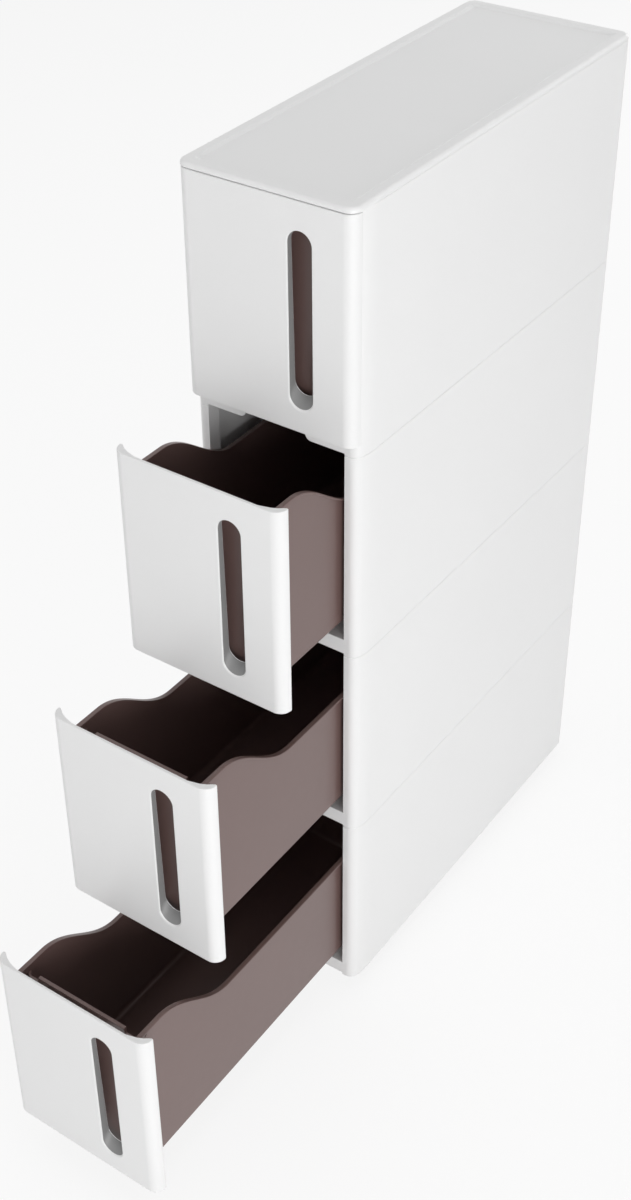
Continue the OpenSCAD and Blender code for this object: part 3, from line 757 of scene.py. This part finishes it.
def loop_of(mesh, points, face, base):
    """Adds a loop of points, given from the front's face and its lower edge."""
    return [mesh.verts.new((x, face + y, base + z)) for x, y, z in points]


def fill_between(mesh, *loops):
    """Fills a flat region whose border, and whose hole, are loops of points."""
    edges = []
    for loop in loops:
        for k in range(len(loop)):
            pair = (loop[k], loop[(k + 1) % len(loop)])
            edges.append(mesh.edges.get(pair) or mesh.edges.new(pair))
    bmesh.ops.triangle_fill(mesh, edges=edges, use_beauty=True)


for tier in TIERS:
    low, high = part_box(tier + "_front")
    face = low.y
    height = high.z - low.z
    mesh = bmesh.new()
    section = front_section()
    edge = rounded_edge(PLATE_EDGE)
    levels = edge + [(inset, height - rise) for inset, rise in reversed(edge)]
    loops = [loop_of(mesh, [(x, y, level) for x, y in shrunk(section, inset)], face, low.z)
             for inset, level in levels]
    count = len(section)
    outer_flat = count - 1
    inner_flat = count // 2 - 1
    lower, upper = loops[len(edge) - 1:len(edge) + 1]
    join_loops(mesh, loops[:len(edge)])
    join_loops(mesh, (lower, upper), gaps=(outer_flat, inner_flat))
    join_loops(mesh, loops[len(edge):])
    mesh.faces.new(loops[0])
    mesh.faces.new(loops[-1])
    mouth = [slot_ring(-out, depth) for out, depth in rounded_edge(COLLAR_LIP, 5)]
    wall = [slot_ring(0, 0, share=k / COLLAR_STEPS) for k in range(COLLAR_FROM, COLLAR_STEPS)]
    inner_end = [slot_ring(0, -INNER_EDGE, share=1), slot_ring(-INNER_BEVEL, -INNER_BEVEL, share=1),
                 slot_ring(-INNER_EDGE, 0, share=1)]
    outer_end = [slot_ring(-COLLAR_WALL + OUTER_EDGE, 0, lifted=0, share=1),
                 slot_ring(-COLLAR_WALL + OUTER_BEVEL, -OUTER_BEVEL, lifted=0, share=1),
                 slot_ring(-COLLAR_WALL, -OUTER_EDGE, lifted=0, share=1)]
    fillet = [slot_ring(-COLLAR_WALL, FRONT_THICK + FILLET_EDGE, lifted=0),
              slot_ring(-COLLAR_WALL - FILLET_BEVEL, FRONT_THICK + FILLET_BEVEL, lifted=0),
              slot_ring(-COLLAR_WALL - FILLET_EDGE, FRONT_THICK, lifted=0)]
    rings = [loop_of(mesh, points, face, low.z)
             for points in mouth + wall + inner_end + outer_end + fillet]
    join_loops(mesh, rings)
    # The collar's wall bands take the second material, the painted shade of the slot's walls.
    for ring in rings[len(mouth):len(mouth) + len(wall)]:
        for corner in ring:
            for band in corner.link_faces:
                band.material_index = 1
    for flat, ring in ((outer_flat, rings[0]), (inner_flat, rings[-1])):
        n = (flat + 1) % count
        fill_between(mesh, [lower[flat], lower[n], upper[n], upper[flat]], ring)
    plate_in = FRONT_THICK - RIB_LAP
    boss_end = finger_depth - BOSS_SHORT
    boss_foot = BOSS_RADIUS + BOSS_FLARE
    boss_profile = [(0, plate_in), (boss_foot, plate_in), (boss_foot, FRONT_THICK),
                    (BOSS_RADIUS, FRONT_THICK + BOSS_FLARE), (BOSS_RADIUS, finger_depth - RIB_EDGE),
                    (BOSS_RADIUS - RIB_EDGE, boss_end), (0, boss_end)]
    end = frame_y - face_y - BUMPER_GAP
    bumper_profile = [(0, plate_in), (BUMPER_RADIUS, plate_in), (BUMPER_RADIUS, end - BUMPER_EDGE),
                      (BUMPER_RADIUS - BUMPER_BEVEL_IN, end - BUMPER_BEVEL_DOWN),
                      (BUMPER_RADIUS - BUMPER_EDGE, end), (0, end)]
    for profile, reach, heights in (
            (boss_profile, screw_x, screw_heights),
            (bumper_profile, BUMPER_X, (BUMPER_IN, height - BUMPER_IN))):
        for x in (-reach, reach):
            for z in heights:
                def on_plate(u, v, w):
                    """A place on the back of this plate, w behind its face."""
                    return (x + u, face + w, low.z + z + v)
                turned(mesh, profile, on_plate, steps=32)
    web = [(x, face + y) for x, y in web_outline()]
    for outline in (web, mirrored(web)):
        prism(mesh, outline, high.z - WEB_THICK, high.z - WEB_SINK, WEB_EDGE, upright)
    plate = piece(tier + "_front_plate", mesh, front_white, "case_plastic", tier + "_drawer",
                  tier + "_front")
    # The second material paints shade on the slot's collar walls.
    plate.data.materials.append(slot_painted_shade)

# Front screws. Four zinc-plated pan-head screws with a cross recess go through each bin's
# front wall from inside and cut their own thread in the bosses of the drawer's front.

SCREW_SHANK = 0.003
screw_length = screws_high.y - screws_low.y - SCREW_HEAD_HEIGHT
WELD = 1e-6
HEAD_WAIST = 0.94
HEAD_CROWN = 0.62
WAIST_HEIGHT = 0.55
CROSS_REACH = 0.62
ZINC_ROUGH = 0.24
ZINC_SPREAD = 0.16
RECESS_WIDTH = 0.0008
RECESS_DEPTH = 0.0011

zinc = Finish("zinc plate")
zinc_cloud = zinc.noise(scale=420.0, detail=4.0)
zinc_plate = zinc.surface(
    Base_Color=zinc.blend(zinc_cloud, first=(0.52, 0.53, 0.55), second=(0.70, 0.71, 0.72)),
    Metallic=1.0,
    Roughness=ZINC_ROUGH + ZINC_SPREAD * zinc_cloud,
    Normal=zinc.bump(zinc.noise(scale=5200.0, detail=2.0), distance=0.00001, strength=0.3))


def screw_tree(material):
    """Geometry nodes that stand a cross-headed screw on each point, its axis along y."""
    tree = bpy.data.node_groups.new("front screws", "GeometryNodeTree")
    tree.interface.new_socket("Points", in_out="INPUT", socket_type="NodeSocketGeometry")
    for name in ("Head diameter", "Head height", "Shank diameter", "Shank length",
                 "Recess width", "Recess depth"):
        tree.interface.new_socket(name, in_out="INPUT", socket_type="NodeSocketFloat")
    tree.interface.new_socket("Screws", in_out="OUTPUT", socket_type="NodeSocketGeometry")
    given = tree.nodes.new("NodeGroupInput")
    made = tree.nodes.new("NodeGroupOutput")

    def add(kind, settings, sockets, output=0):
        node = tree.nodes.new(kind)
        for name, setting in settings.items():
            setattr(node, name, setting)
        for name, value in sockets.items():
            if isinstance(value, bpy.types.NodeSocket):
                tree.links.new(value, node.inputs[name])
            else:
                node.inputs[name].default_value = value
        return node.outputs[output]

    def times(value, factor):
        return add("ShaderNodeMath", {"operation": "MULTIPLY"}, {0: value, 1: factor})

    def along_y(geometry, distance):
        shift = add("ShaderNodeCombineXYZ", {}, {"Z": distance})
        return add("GeometryNodeTransform", {}, {"Geometry": geometry, "Translation": shift})

    radius = times(given.outputs["Head diameter"], 0.5)
    tall = given.outputs["Head height"]
    lower = add("GeometryNodeMeshCone", {}, {"Vertices": 32, "Side Segments": 1,
                "Radius Top": times(radius, HEAD_WAIST), "Radius Bottom": radius,
                "Depth": times(tall, WAIST_HEIGHT)})
    upper = add("GeometryNodeMeshCone", {}, {"Vertices": 32, "Side Segments": 1,
                "Radius Top": times(radius, HEAD_CROWN), "Radius Bottom": times(radius, HEAD_WAIST),
                "Depth": times(tall, 1 - WAIST_HEIGHT)})
    shank = add("GeometryNodeMeshCylinder", {}, {"Vertices": 24, "Side Segments": 8,
                "Radius": times(given.outputs["Shank diameter"], 0.5),
                "Depth": given.outputs["Shank length"]})
    head = add("GeometryNodeJoinGeometry", {}, {})
    joined = head.node
    tree.links.new(lower, joined.inputs[0])
    tree.links.new(along_y(upper, times(tall, WAIST_HEIGHT)), joined.inputs[0])
    welded = add("GeometryNodeMergeByDistance", {}, {"Geometry": head, "Distance": WELD})
    bars = []
    for wide, deep in ((CROSS_REACH, 0.0), (0.0, CROSS_REACH)):
        size = add("ShaderNodeCombineXYZ", {}, {
            "X": times(given.outputs["Head diameter"], wide) if wide
            else given.outputs["Recess width"],
            "Y": times(given.outputs["Head diameter"], deep) if deep
            else given.outputs["Recess width"],
            "Z": times(given.outputs["Recess depth"], 2.0)})
        bars.append(along_y(add("GeometryNodeMeshCube", {}, {"Size": size}), tall))
    cut = add("GeometryNodeMeshBoolean", {"operation": "DIFFERENCE"}, {"Mesh 1": welded})
    for bar in bars:
        tree.links.new(bar, cut.node.inputs["Mesh 2"])
    whole = add("GeometryNodeJoinGeometry", {}, {})
    tree.links.new(cut, whole.node.inputs[0])
    tree.links.new(along_y(shank, times(given.outputs["Shank length"], -1.0)),
                   whole.node.inputs[0])
    stood = add("GeometryNodeInstanceOnPoints", {}, {"Points": given.outputs["Points"],
                "Instance": whole, "Rotation": (-math.pi / 2, 0.0, 0.0)})
    solid = add("GeometryNodeRealizeInstances", {}, {"Geometry": stood})
    coated = add("GeometryNodeSetMaterial", {}, {"Geometry": solid, "Material": material})
    tree.links.new(coated, made.inputs[0])
    return tree


screws = screw_tree(zinc_plate)
screw_sizes = {"Head diameter": SCREW_HEAD, "Head height": SCREW_HEAD_HEIGHT,
               "Shank diameter": SCREW_SHANK, "Shank length": screw_length,
               "Recess width": RECESS_WIDTH, "Recess depth": RECESS_DEPTH}
screw_inputs = {item.name: item.identifier for item in screws.interface.items_tree
                if item.in_out == "INPUT"}
for tier in TIERS:
    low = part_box(tier + "_front")[0]
    seat = low.y + finger_depth + BIN_WALL
    spots = bpy.data.meshes.new(tier + " screw spots")
    spots.from_pydata([(x, seat, low.z + z) for x in (-screw_x, screw_x)
                       for z in screw_heights], [], [])
    holder = bpy.data.objects.new(tier + "_screw_spots", spots)
    bpy.context.scene.collection.objects.link(holder)
    maker = holder.modifiers.new("screws", "NODES")
    maker.node_group = screws
    for name, size in screw_sizes.items():
        maker[screw_inputs[name]] = size
    shown = holder.evaluated_get(bpy.context.evaluated_depsgraph_get())
    data = bpy.data.meshes.new_from_object(shown)
    bpy.data.objects.remove(holder)
    data.name = tier + "_screws"
    obj = bpy.data.objects.new(tier + "_screws", data)
    bpy.context.scene.collection.objects.link(obj)
    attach(obj, tier + "_drawer")
    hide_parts(tier + "_front_screws")

# Casters. A nylon sleeve is pushed up into a boss in the bottom tier's floor. A steel stem
# turns in it, riveted to a nylon fork that leans back over a small grey wheel, and a steel
# rivet is the wheel's axle.

stem_low, stem_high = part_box("front_left_caster_stem")
wheel_low, wheel_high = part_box("front_left_caster_wheel")
sleeve_low, sleeve_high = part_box("front_left_caster_sleeve")
fork_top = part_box("front_left_caster_fork")[1].z
RUN_GAP = 0.00005
FINE_EDGE = 0.0004
SLEEVE_OUT = 0.006
SLEEVE_TAPER_IN = 0.0004
SLEEVE_TAPER = 0.0008
FLANGE_OUT = 0.0095
FLANGE_THICK = 0.0015
FLANGE_BEVEL = 0.0003
STEM_RADIUS = 0.0035
STEM_EDGE = 0.0005
STEM_HEAD = 0.005
STEM_HEAD_EDGE = 0.0008
STEM_HEAD_RISE = 0.0006
BRIDGE_THICK = 0.0034
BRIDGE_RADIUS = 0.010
BRIDGE_EDGE = 0.0006
CHEEK_IN = 0.006
CHEEK_OUT = 0.008
CHEEK_ROUND = 0.005
CHEEK_FRONT = 0.006
CHEEK_DROP = 0.002
CHEEK_SOFT = 0.0015
CHEEK_EDGE = 0.0005
ROOF_START = 0.003
ROOF_SINK = 0.0002
ROOF_SOFT = 0.0008
ROOF_LAP = 0.001
ROOF_EDGE = 0.0003
AXLE_RADIUS = 0.002
RIVET_HEAD = 0.0012
RIVET_THICK = 0.001
RIVET_CROWN = 0.0004
RIVET_CROWN_FALL = 0.0001
RIVET_SHOULDER = 0.0006
WHEEL_RADIUS = (wheel_high.z - wheel_low.z) / 2
WHEEL_HALF = (wheel_high.x - wheel_low.x) / 2
WHEEL_EDGE = 0.0003
HUB_WALL = 0.003
DISH = 0.0015
DISH_HUB_FILLET = 0.0008
DISH_RIM_FILLET = 0.0009
DISH_RIM_BEVEL = 0.0002
RIM_WALL = 0.003
TREAD_ROUND = 0.002
TRAIL = (wheel_low.y + wheel_high.y - stem_low.y - stem_high.y) / 2
stem_bore = STEM_RADIUS + RUN_GAP
bridge_low = fork_top - BRIDGE_THICK

nylon_white = moulded_plastic("caster nylon", pale=(0.62, 0.62, 0.60), deep=(0.55, 0.55, 0.53),
                              rough=0.48, grain=1500.0)
tread_grey = moulded_plastic("wheel grey", pale=(0.13, 0.13, 0.135), deep=(0.10, 0.10, 0.105),
                             rough=0.62, grain=1300.0)


def both_ways(half):
    """A profile and its mirror image, from its far end back to its start."""
    return half + [(radius, -level) for radius, level in reversed(half)]


def sleeve_profile():
    """The nylon sleeve: a tapered tube on a flange."""
    low, high = sleeve_low.z, sleeve_high.z
    flange = low + FLANGE_THICK
    return [(stem_bore, low + WHEEL_EDGE), (stem_bore, high), (SLEEVE_OUT - SLEEVE_TAPER_IN, high),
            (SLEEVE_OUT, high - SLEEVE_TAPER), (SLEEVE_OUT, flange),
            (FLANGE_OUT - FLANGE_BEVEL, flange), (FLANGE_OUT, flange - FINE_EDGE),
            (FLANGE_OUT, low + FINE_EDGE), (FLANGE_OUT - FINE_EDGE, low),
            (STEM_RADIUS + FINE_EDGE, low)]


def stem_profile():
    """The steel stem: a head below the fork's bridge, and a plain pin."""
    low, high = stem_low.z, stem_high.z
    return [(0, low), (STEM_HEAD - STEM_HEAD_EDGE, low), (STEM_HEAD, low + STEM_HEAD_RISE),
            (STEM_HEAD, bridge_low), (STEM_RADIUS, bridge_low), (STEM_RADIUS, high - STEM_EDGE),
            (STEM_RADIUS - STEM_EDGE, high), (0, high)]


def bridge_profile():
    """The round bridge on top of the fork, with a bore for the stem."""
    return [(stem_bore, bridge_low), (stem_bore, fork_top),
            (BRIDGE_RADIUS - BRIDGE_EDGE, fork_top), (BRIDGE_RADIUS, fork_top - BRIDGE_EDGE),
            (BRIDGE_RADIUS, bridge_low + BRIDGE_EDGE), (BRIDGE_RADIUS - BRIDGE_EDGE, bridge_low)]


def fork_cheek():
    """A cheek of the fork seen from the side, from the bridge down round the axle."""
    top = fork_top - HAIR
    cheek = [(-CHEEK_FRONT, bridge_low - CHEEK_DROP)]
    cheek += arc(TRAIL, WHEEL_RADIUS, CHEEK_ROUND, 190, 360, 14)
    cheek += [(TRAIL + CHEEK_ROUND, top), (-CHEEK_FRONT, top)]
    return softened(cheek, CHEEK_SOFT)


def fork_roof():
    """The plate between the cheeks behind the bridge, seen from the side."""
    front, back = STEM_RADIUS + ROOF_START, TRAIL + CHEEK_ROUND - ROOF_SINK
    low, high = bridge_low + ROOF_SINK, fork_top - ROOF_SINK
    return softened([(front, low), (back, low), (back, high), (front, high)], ROOF_SOFT)


def rivet_profile():
    """The axle: a steel rivet with a low head at each end."""
    end = CHEEK_OUT + RIVET_THICK
    head = AXLE_RADIUS + RIVET_HEAD
    half = [(0, -end), (AXLE_RADIUS + RIVET_CROWN, -end + RIVET_CROWN_FALL),
            (head, -end + RIVET_SHOULDER), (head, -CHEEK_OUT), (AXLE_RADIUS, -CHEEK_OUT)]
    return both_ways(half)


def wheel_profile():
    """The wheel: a hub with a bore, a dish on each side, and a round-edged tread."""
    bore = AXLE_RADIUS + RUN_GAP
    hub = AXLE_RADIUS + HUB_WALL
    rim = WHEEL_RADIUS - RIM_WALL
    dish = WHEEL_HALF - DISH
    half = [(bore, WHEEL_HALF - WHEEL_EDGE), (bore + WHEEL_EDGE, WHEEL_HALF),
            (hub - WHEEL_EDGE, WHEEL_HALF), (hub, WHEEL_HALF - FINE_EDGE),
            (hub + WHEEL_EDGE, dish + WHEEL_EDGE), (hub + DISH_HUB_FILLET, dish),
            (rim - DISH_RIM_FILLET, dish), (rim - DISH_RIM_BEVEL, dish + WHEEL_EDGE),
            (rim, WHEEL_HALF - WHEEL_EDGE), (rim + FINE_EDGE, WHEEL_HALF)]
    half += [(WHEEL_RADIUS - TREAD_ROUND + x, WHEEL_HALF - TREAD_ROUND + z)
             for x, z in arc(0, 0, TREAD_ROUND, 80, 0, 5)]
    return both_ways(half)


for corner, (spot_x, spot_y) in caster_spots.items():
    body = corner + "_swivel"

    def on_stem(u, v, w):
        """A place round this caster's stem, w above the ground."""
        return (spot_x + u, spot_y + v, w)

    def on_axle(u, v, w):
        """A place round this caster's axle, w to the right of the wheel's middle."""
        return (spot_x + w, spot_y + TRAIL + u, WHEEL_RADIUS + v)

    def in_fork(u, v, w):
        """A place seen from the side, u behind the stem and w to its right."""
        return (spot_x + w, spot_y + u, v)

    mesh = bmesh.new()
    turned(mesh, sleeve_profile(), on_stem, closed=True)
    piece(corner + "_sleeve_nylon", mesh, nylon_white, "caster_nylon", "trolley",
          corner + "_caster_sleeve")

    mesh = bmesh.new()
    turned(mesh, stem_profile(), on_stem)
    piece(corner + "_stem_pin", mesh, zinc_plate, "steel", body, corner + "_caster_stem")

    mesh = bmesh.new()
    turned(mesh, bridge_profile(), on_stem, closed=True)
    for inner, outer in ((-CHEEK_OUT, -CHEEK_IN), (CHEEK_IN, CHEEK_OUT)):
        prism(mesh, fork_cheek(), inner, outer, CHEEK_EDGE, in_fork)
    prism(mesh, fork_roof(), -CHEEK_IN - ROOF_LAP, CHEEK_IN + ROOF_LAP, ROOF_EDGE, in_fork)
    piece(corner + "_fork_nylon", mesh, nylon_white, "caster_nylon", body,
          corner + "_caster_fork")

    mesh = bmesh.new()
    turned(mesh, rivet_profile(), on_axle, steps=32)
    piece(corner + "_axle_rivet", mesh, zinc_plate, "steel", body, corner + "_caster_axle")

    mesh = bmesh.new()
    turned(mesh, wheel_profile(), on_axle, closed=True)
    piece(corner + "_wheel_disc", mesh, tread_grey, "wheel_rubber", corner + "_wheel",
          corner + "_caster_wheel")

# Studio. A plain pale floor under soft lamps, and the camera where the photograph was
# taken from, above the drawers and to their right.

FLOOR_SHADOW = 0.15
floor_finish = Finish("studio floor")
path = floor_finish.tree.nodes.new("ShaderNodeLightPath")
direct = [Value(floor_finish, path.outputs[name])
          for name in ("Is Camera Ray", "Is Glossy Ray", "Is Transmission Ray")]
seen = floor_finish.node("ShaderNodeMath", {"operation": "MINIMUM"},
                         {0: direct[0] + direct[1] + direct[2], 1: 1.0})
paper = floor_finish.node("ShaderNodeBsdfDiffuse", {}, {"Color": (0.90, 0.90, 0.90)})
glow = floor_finish.node("ShaderNodeEmission", {}, {"Color": (1.0, 1.0, 1.0), "Strength": 1.0})
mixed = floor_finish.node("ShaderNodeMixShader", {},
                          {0: (1.0 - FLOOR_SHADOW) * seen, 1: paper, 2: glow})
floor_finish.node("ShaderNodeOutputMaterial", {}, {"Surface": mixed})
FLOOR_REACH = 6.0
floor_data = bpy.data.meshes.new("studio_floor")
floor_data.from_pydata([(-FLOOR_REACH, -FLOOR_REACH, 0), (FLOOR_REACH, -FLOOR_REACH, 0),
                        (FLOOR_REACH, FLOOR_REACH, 0), (-FLOOR_REACH, FLOOR_REACH, 0)],
                       [], [(0, 1, 2, 3)])
floor_data.materials.append(floor_finish.material)
floor = bpy.data.objects.new("studio_floor", floor_data)
bpy.context.scene.collection.objects.link(floor)

SKY_STRENGTH = 0.36
world = bpy.data.worlds.new("soft studio")
bpy.context.scene.world = world
world.use_nodes = True
sky = world.node_tree
sky.nodes.clear()


def sky_node(kind, **sockets):
    """Adds a node to the world, feeds its sockets and returns it."""
    made = sky.nodes.new(kind)
    for name, value in sockets.items():
        if isinstance(value, bpy.types.NodeSocket):
            sky.links.new(value, made.inputs[name])
        else:
            made.inputs[name].default_value = value
    return made


sky_path = sky_node("ShaderNodeLightPath").outputs
sky_seen = sky_path["Is Camera Ray"]
for name in ("Is Glossy Ray", "Is Transmission Ray"):
    adding = sky_node("ShaderNodeMath")
    adding.operation = "MAXIMUM"
    sky.links.new(sky_seen, adding.inputs[0])
    sky.links.new(sky_path[name], adding.inputs[1])
    sky_seen = adding.outputs[0]
sky_light = sky_node("ShaderNodeBackground", Color=(1, 1, 1, 1), Strength=SKY_STRENGTH)
sky_white = sky_node("ShaderNodeBackground", Color=(1, 1, 1, 1), Strength=1.0)
sky_mix = sky_node("ShaderNodeMixShader", Fac=sky_seen)
sky.links.new(sky_light.outputs[0], sky_mix.inputs[1])
sky.links.new(sky_white.outputs[0], sky_mix.inputs[2])
sky_node("ShaderNodeOutputWorld", Surface=sky_mix.outputs[0])


LAMP_SIZE = 1.8


def soft_lamp(name, power, place, aim=(0.0, -0.1, 0.45)):
    """A square lamp that is turned to what it lights."""
    lamp = bpy.data.lights.new(name, "AREA")
    lamp.shape = "SQUARE"
    lamp.size = LAMP_SIZE
    lamp.energy = power
    obj = bpy.data.objects.new(name, lamp)
    obj.location = place
    obj.rotation_euler = (Vector(aim) - Vector(place)).to_track_quat("-Z", "Y").to_euler()
    bpy.context.scene.collection.objects.link(obj)


soft_lamp("right_front_lamp", 67, (2.4, -1.8, 0.55))
soft_lamp("left_front_lamp", 2, (-0.9, -3.0, 1.5))
soft_lamp("left_lamp", 19, (-2.8, -1.2, 1.0))
soft_lamp("top_lamp", 22, (0.0, 0.3, 3.2), aim=(0.0, 0.0, 0.45))
soft_lamp("back_lamp", 20, (0.2, 3.0, 1.3), aim=(0.0, 0.1, 0.45))

CAMERA_AZIMUTH = math.radians(35.56)
CAMERA_ELEVATION = math.radians(35.469)
CAMERA_ROLL = math.radians(-0.777)
CAMERA_STAND = Vector((0.74634, -1.07416, 1.42883))
IMAGE_HEIGHT = 1200
IMAGE_WIDTH = 631
FOCAL_PIXELS = 1770.16
CENTRE_X = 300
CENTRE_Y = 540
SENSOR_HEIGHT = 36.0
lens = bpy.data.cameras.new("photo_camera")
lens.sensor_fit = "VERTICAL"
lens.sensor_height = SENSOR_HEIGHT
lens.lens = SENSOR_HEIGHT * FOCAL_PIXELS / IMAGE_HEIGHT
lens.shift_x = (IMAGE_WIDTH / 2 - CENTRE_X) / IMAGE_HEIGHT
lens.shift_y = (CENTRE_Y - IMAGE_HEIGHT / 2) / IMAGE_HEIGHT
camera = bpy.data.objects.new("photo_camera", lens)
back = Vector((math.sin(CAMERA_AZIMUTH) * math.cos(CAMERA_ELEVATION),
               -math.cos(CAMERA_AZIMUTH) * math.cos(CAMERA_ELEVATION),
               math.sin(CAMERA_ELEVATION)))
level = Vector((math.cos(CAMERA_AZIMUTH), math.sin(CAMERA_AZIMUTH), 0))
rise = back.cross(level)
right = math.cos(CAMERA_ROLL) * level + math.sin(CAMERA_ROLL) * rise
up = back.cross(right)
facing = Matrix((right, up, back)).transposed().to_4x4()
camera.matrix_world = Matrix.Translation(CAMERA_STAND) @ facing
bpy.context.scene.collection.objects.link(camera)
bpy.context.scene.camera = camera
bpy.context.scene.view_settings.view_transform = "Standard"
